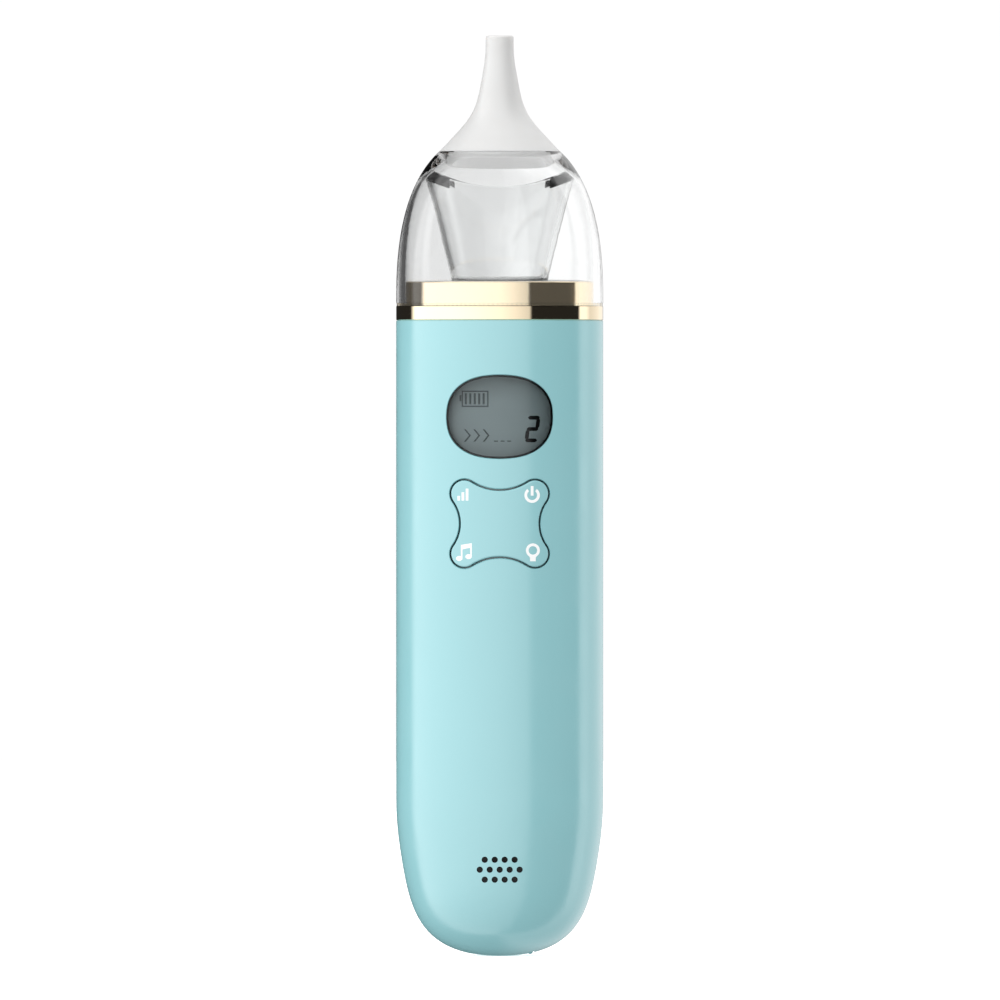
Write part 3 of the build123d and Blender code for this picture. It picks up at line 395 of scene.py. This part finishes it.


def painted_glow(tree):
    """Painted glow: emission on the nozzle's foot and funnel, which lifts them out of their shade
    inside the dome, in place of light carried there by the soft silicone."""
    axes = put(tree, "ShaderNodeSeparateXYZ", {0: own_place(tree)}).outputs
    flat = put(tree, "ShaderNodeCombineXYZ", {0: axes["X"], 1: axes["Y"]}).outputs[0]
    radius = put(tree, "ShaderNodeVectorMath", {0: flat}, operation="LENGTH").outputs["Value"]
    above_foot = maths(tree, "SUBTRACT", axes["Z"], FOOT_Z)
    lost = maths(tree, "MULTIPLY", above_foot, FUNNEL_SLOPE)
    outside = maths(tree, "SUBTRACT", maths(tree, "ADD", radius, lost), FUNNEL_R)
    in_foot = remap(tree, above_foot, 0.9 * MM, 1.2 * MM, PAINTED_GLOW_LEVEL, 0.0)
    in_funnel = remap(tree, outside, 0.2 * MM, 0.5 * MM, PAINTED_GLOW_LEVEL, 0.0)
    return maths(tree, "MAXIMUM", in_foot, in_funnel)


TURN = 0.3 * MM  # from one turn of a winding to the next


def turn_gap_shade(tree):
    """Painted shade in the gaps between a winding's turns."""
    return between(tree, lines(tree, TURN, "Z"), 1.0, 0.0), (0.12, 0.03, 0.01)


GOLD = (0.94, 0.79, 0.56)
DULL = {"Specular IOR Level": 0.05}
CLEAR_RIPPLE = 0.0015 * MM

MATERIALS = {
    "aqua_plastic": surface(
        "aqua_plastic_finish", AQUA, 0.21, spread=0.012, patch=25 * MM, grain=5 * MM,
        depth=0.0006 * MM, uneven=0.2, pattern=parting_line, IOR=1.88,
    ),
    "aqua_silicone": surface(
        "aqua_silicone_finish", shade(AQUA, 0.96), 0.42, spread=0.02, grain=0.12 * MM,
        depth=0.004 * MM, **{"Subsurface Weight": 0.15, "Subsurface Scale": 1 * MM},
    ),
    "gold_plate": surface(
        "gold_plate_finish", GOLD, 0.05, spread=0.02, patch=12 * MM, depth=0.00015 * MM,
        height=lambda tree: lines(tree, 0.08 * MM, "Z", 2.0), Metallic=1.0,
    ),
    # Its glow is painted light on the nozzle's foot and funnel.
    "white_silicone": surface(
        "white_silicone_finish", (0.58, 0.58, 0.575), 0.4, spread=0.01, grain=0.15 * MM,
        depth=0.003 * MM, glow=painted_glow, IOR=1.9,
        **{"Subsurface Weight": 0.35, "Subsurface Scale": 1.5 * MM,
           "Subsurface Radius": (1.0, 0.9, 0.85)},
    ),
    "clear_plastic": clear("clear_plastic_finish", (0.99, 0.995, 0.995), 0.015, 1.49, CLEAR_RIPPLE),
    "clear_silicone": clear("clear_silicone_finish", (0.9, 0.92, 0.92), 0.06, 1.41, 0.003 * MM),
    "lens_plastic": smoked("lens_plastic_finish", (0.82, 0.85, 0.86), 0.04, 1.38),
    "lcd_glass": surface(
        "lcd_glass_finish", (0.44, 0.485, 0.48), 0.35, spread=0.02, patch=6 * MM,
        depth=0.0005 * MM, height=lambda tree: lines(tree, 0.1 * MM, "X"), **DULL,
    ),
    "black_rubber": surface(
        "black_rubber_finish", (0.018, 0.018, 0.019), 0.5, spread=0.15, depth=0.005 * MM,
    ),
    "black_plastic": surface(
        "black_plastic_finish", (0.012, 0.012, 0.013), 0.35, spread=0.1, depth=0.004 * MM,
    ),
    "white_plastic": surface(
        "white_plastic_finish", (0.8, 0.8, 0.79), 0.3, spread=0.015, depth=0.002 * MM,
    ),
    "board_green": surface(
        "board_green_finish", (0.012, 0.1, 0.045), 0.25, spread=0.1, patch=3 * MM,
        pattern=traces, **{"Coat Weight": 0.6, "Coat Roughness": 0.15},
    ),
    "steel": surface(
        "steel_finish", (0.56, 0.57, 0.58), 0.28, spread=0.05, patch=2 * MM, grain=0.1 * MM,
        depth=0.001 * MM, Metallic=1.0,
    ),
    "ferrite": surface(
        "ferrite_finish", (0.045, 0.045, 0.05), 0.55, spread=0.25, grain=0.15 * MM,
        depth=0.012 * MM,
    ),
    "winding": surface(
        "winding_finish", (0.55, 0.19, 0.06), 0.25, spread=0.1, pattern=turn_gap_shade,
        depth=0.04 * MM, height=lambda tree: lines(tree, TURN, "Z"), Metallic=0.85,
    ),
    "foam": surface(
        "foam_finish", (0.14, 0.14, 0.15), 0.95, spread=0.2, pattern=pore_shade,
        depth=0.12 * MM, height=lambda tree: cells(tree, PORE),
    ),
    "cell_wrap": surface(
        "cell_wrap_finish", (0.03, 0.11, 0.35), 0.22, spread=0.06, patch=5 * MM,
        depth=0.01 * MM, grain=3 * MM, **{"Coat Weight": 0.5},
    ),
    "wire_red": surface("wire_red_finish", (0.5, 0.02, 0.015), 0.32, spread=0.06),
    "wire_black": surface("wire_black_finish", (0.012, 0.012, 0.012), 0.35, spread=0.1),
    "warm_lamp": surface(
        "warm_lamp_finish", (0.9, 0.75, 0.25), 0.2, spread=0.05, grain=0.05 * MM,
        depth=0.003 * MM, **{"Coat Weight": 0.8},
    ),
}
PRINT_WHITE = surface("print_white_finish", (0.86, 0.87, 0.87), 0.4, spread=0.01, patch=1 * MM)
LCD_INK = surface("lcd_ink_finish", (0.004, 0.004, 0.004), 0.4, spread=0.1, patch=1 * MM, **DULL)
LCD_GREY = surface("lcd_grey_finish", (0.1, 0.115, 0.115), 0.4, spread=0.05, patch=1 * MM, **DULL)
CUP_PLASTIC = clear("cup_plastic_finish", (0.93, 0.935, 0.935), 0.03, 1.49, CLEAR_RIPPLE)

for node in nodes.values():
    for material_slot in node.material_slots:
        material_slot.material = MATERIALS[material_slot.material.name]
nodes["collection_cup"].material_slots[0].material = CUP_PLASTIC


# Printed and displayed marks, in mm until mark() turns them to metres -------------------------------

STRIP = 0.25  # a mark is cut into strips this wide, so that it bends round the surface
SUNK = 0.01  # how far a mark's back goes into the surface
WELD = 1e-4  # points this close become one


def arc(centre, radius, start_deg, end_deg, count=24):
    """Points along an arc; radius is one number, or two for an ellipse's."""
    across, up = radius if isinstance(radius, tuple) else (radius, radius)
    points = []
    for i in range(count + 1):
        a = radians(start_deg + (end_deg - start_deg) * i / count)
        points.append((centre[0] + across * cos(a), centre[1] + up * sin(a)))
    return points


def circle(centre, radius, count=40):
    return arc(centre, radius, 0, 360 * (count - 1) / count, count - 1)


def rectangle(x0, z0, x1, z1):
    return [(x0, z0), (x1, z0), (x1, z1), (x0, z1)]


def mark(name, shapes, body, surface_y, lift, material):
    """Thin raised mark. Each shape is a list of closed outlines, the first with the rest as its
    holes; surface_y(x) gives the surface it lies on."""
    bm = bmesh.new()
    for loops in shapes:
        edges = []
        for points in loops:
            corners = [bm.verts.new((x, 0, z)) for x, z in points]
            edges += [bm.edges.new((a, b)) for a, b in zip(corners, corners[1:] + corners[:1])]
        bmesh.ops.triangle_fill(bm, use_beauty=True, use_dissolve=False, edges=edges)
    low = min(v.co.x for v in bm.verts)
    high = max(v.co.x for v in bm.verts)
    x = low + STRIP
    while x < high:
        geometry = bm.verts[:] + bm.edges[:] + bm.faces[:]
        bmesh.ops.bisect_plane(bm, geom=geometry, plane_co=(x, 0, 0), plane_no=(1, 0, 0), dist=1e-5)
        x += STRIP
    for face in bm.faces:
        face.normal_update()
        if face.normal.y > 0:
            face.normal_flip()
    front = bm.faces[:]
    grown = bmesh.ops.extrude_face_region(bm, geom=front, use_keep_orig=True)
    moved = {g for g in grown["geom"] if isinstance(g, bmesh.types.BMVert)}
    for v in bm.verts:
        v.co.y = surface_y(v.co.x) + (-lift if v in moved else SUNK)
    for face in front:
        face.normal_flip()
    bmesh.ops.remove_doubles(bm, verts=bm.verts[:], dist=WELD)
    bmesh.ops.recalc_face_normals(bm, faces=bm.faces[:])
    bmesh.ops.scale(bm, vec=(MM, MM, MM), verts=bm.verts[:])
    mesh = bpy.data.meshes.new(name)
    bm.to_mesh(mesh)
    bm.free()
    mesh.materials.append(material)
    piece = bpy.data.objects.new(name, mesh)
    scene.collection.objects.link(piece)
    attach(piece, body)


KEY_R = 20.22
KEY_Z = 83.5
PRINT_LIFT = 0.012
DISPLAY_Y = -15.0
DISPLAY_LIFT = 0.04


def on_keys(x):
    """The key plate's round front."""
    return -sqrt(KEY_R**2 - x**2)


def on_display(_x):
    """The display's flat front."""
    return DISPLAY_Y


def shift(points, dx, dz):
    return [(x + dx, z + dz) for x, z in points]


def power_icon(x, z):
    """Ring with a gap at its top, and an upright stroke."""
    outer, inner, gap = 1.5, 0.95, 38
    ring = arc((x, z), outer, 90 + gap, 450 - gap) + arc((x, z), inner, 450 - gap, 90 + gap)
    return [[ring], [rectangle(x - 0.27, z - 0.1, x + 0.27, z + 1.75)]]


def level_icon(x, z):
    """Three rising bars, for the suction level."""
    bars = []
    for i, tall in enumerate((0.9, 1.6, 2.3)):
        left = x - 1.05 + i * 0.8
        bars.append([rectangle(left, z - 1.15, left + 0.52, z - 1.15 + tall)])
    return bars


def music_icon(x, z):
    """Two joined notes as one outline."""
    head, stem = (0.62, 0.48), 0.3
    left_x, left_z = -0.85, -1.2
    right_x, right_z = 0.95, -0.85
    reach = sqrt(1 - ((head[0] - stem) / head[0]) ** 2)
    meet = degrees(atan2(reach, (head[0] - stem) / head[0]))
    outline = [(left_x + head[0], 0.55), (right_x + head[0] - stem, 0.85)]
    outline += arc((right_x, right_z), head, meet, 360, 20)
    outline += [(right_x + head[0], 1.75), (left_x + head[0] - stem, 1.4)]
    outline += arc((left_x, left_z), head, meet, 360, 20)
    return [[shift(outline, x, z)]]


def bulb_icon(x, z):
    """Ring of glass on a square foot, for the lamp."""
    glass = arc((x, z + 0.35), 1.35, -58, 238, 36)
    foot = [(x - 0.55, z - 1.05), (x - 0.55, z - 1.75), (x + 0.55, z - 1.75), (x + 0.55, z - 1.05)]
    return [[glass + foot, circle((x, z + 0.35), 0.82, 28)]]


icons = {
    "level_icon": level_icon(-7.1, KEY_Z + 5.6),
    "power_icon": power_icon(6.25, KEY_Z + 5.5),
    "music_icon": music_icon(-6.95, KEY_Z - 5.5),
    "bulb_icon": bulb_icon(6.4, KEY_Z - 5.5),
}
for icon_name, shapes in icons.items():
    mark(icon_name, shapes, "keys", on_keys, PRINT_LIFT, PRINT_WHITE)


def battery_sign():
    """Cell outline with five bars, and its terminal on the left."""
    left, right, low, high, line = -7.35, -2.15, 106.0, 109.15, 0.26
    outline = rectangle(left, low, right, high)
    window = rectangle(left + line, low + line, right - line, high - line)
    parts = [[outline, window], [rectangle(left - 0.4, low + 1.1, left - 0.05, high - 0.85)]]
    for i in range(5):
        x = left + 0.62 + i * 0.86
        parts.append([rectangle(x, low + 0.5, x + 0.4, high - 0.5)])
    return parts


def airflow_sign():
    """Three chevrons and three dashes, which share a lower edge."""
    low, high, reach, stroke = 99.3, 101.7, 0.97, 0.38
    middle = (low + high) / 2
    parts = []
    for i in range(3):
        x = -6.9 + i * 1.8
        parts.append([[
            (x, low), (x + stroke, low), (x + reach + stroke, middle), (x + stroke, high),
            (x, high), (x + reach, middle),
        ]])
    for i in range(3):
        x = -1.1 + i * 1.28
        parts.append([rectangle(x, low, x + 0.75, low + 0.22)])
    return parts


def seven_segment_two(x, z, wide, tall, thick, lean):
    """Slanted figure 2 in seven-segment style."""
    half, gap = thick / 2, 0.07

    def across(at):
        left, right = x + gap + half, x + wide - gap - half
        return [
            (left - half, at), (left, at + half), (right, at + half), (right + half, at),
            (right, at - half), (left, at - half),
        ]

    def upright(at, low, high):
        low, high = low + gap, high - gap
        return [
            (at, low), (at + half, low + half), (at + half, high - half), (at, high),
            (at - half, high - half), (at - half, low + half),
        ]

    top, middle, bottom = z + tall - half, z + tall / 2, z + half
    strokes = [
        across(top), across(middle), across(bottom),
        upright(x + wide - half, middle, top), upright(x + half, bottom, middle),
    ]
    return [[[(px + (pz - z) * lean, pz) for px, pz in stroke]] for stroke in strokes]


display_marks = {
    "battery_sign": (battery_sign(), LCD_GREY),
    "airflow_sign": (airflow_sign(), LCD_GREY),
    "level_figure": (seven_segment_two(4.75, 99.2, 2.5, 5.1, 0.72, 0.13), LCD_INK),
}
for mark_name, (shapes, ink) in display_marks.items():
    mark(mark_name, shapes, "handle", on_display, DISPLAY_LIFT, ink)
